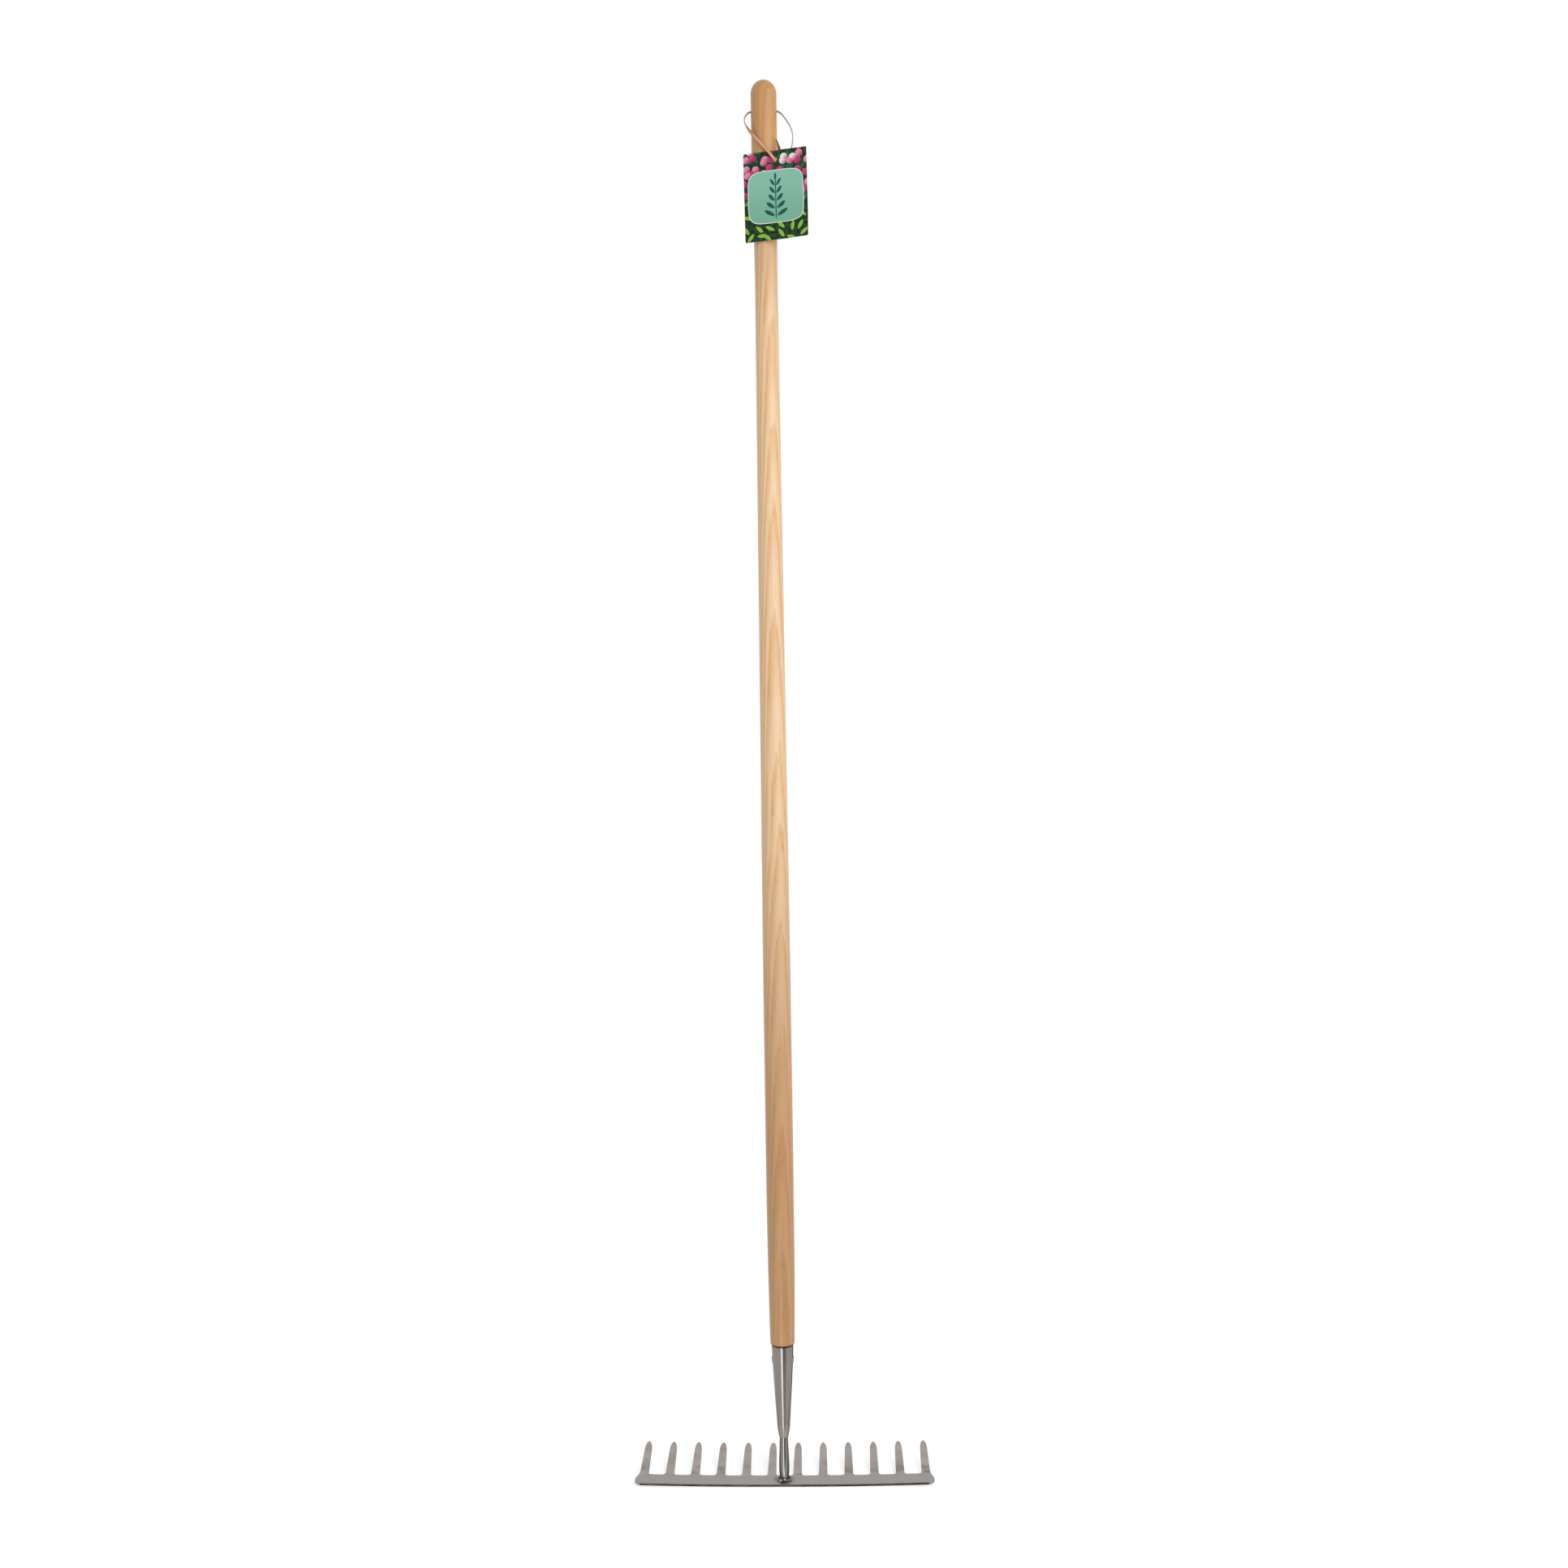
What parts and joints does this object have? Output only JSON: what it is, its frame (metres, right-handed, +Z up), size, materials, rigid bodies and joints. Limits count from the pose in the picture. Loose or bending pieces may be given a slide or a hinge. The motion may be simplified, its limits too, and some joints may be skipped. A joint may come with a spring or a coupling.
{
  "type": "garden rake",
  "caption": "Long-handled border rake: stamped stainless comb head on a tang and tapered riveted socket, turned ash shaft, leather hanging lace and card swing tag.",
  "frame": {"origin": "on the shaft's axis, at the flat underside of the comb's bar", "axes": "+Z up the shaft, teeth towards +Y, tag on the -Y side, X along the comb's bar"},
  "size_m": [0.3556, 0.1011, 1.6661],
  "materials": {
    "satin_stainless": "satin, tumbled after stamping",
    "polished_stainless": "polished, fine turning lines",
    "weld_bead": "as welded, heat tinted",
    "turned_ash": "clear satin varnish",
    "tan_leather": "smooth tan, dark cut edges",
    "printed_card": "printed and laminated card"
  },
  "bodies": {
    "rake": {"rake_head": "satin_stainless", "tang": "polished_stainless", "head_weld": "weld_bead", "socket": "polished_stainless", "socket_rivet": "polished_stainless", "handle_shaft": "turned_ash"},
    "lace_loop": {"lace": "tan_leather", "lace_knot": "tan_leather", "lace_tail_upper": "tan_leather", "lace_tail_lower": "tan_leather"},
    "tag": {"swing_tag": "printed_card"}
  },
  "joints": [
    {"name": "lace_swing", "type": "hinge", "parent": "rake", "child": "lace_loop", "pos_m": [0, 0, 1.629], "axis": [-1, 0, 0], "range_deg": [0, 90]},
    {"name": "tag_turn", "type": "hinge", "parent": "lace_loop", "child": "tag", "pos_m": [0.01282, -0.01938, 1.5638], "axis": [-0.225, -0.9744, 0], "range_deg": [-60, 60]}
  ]
}
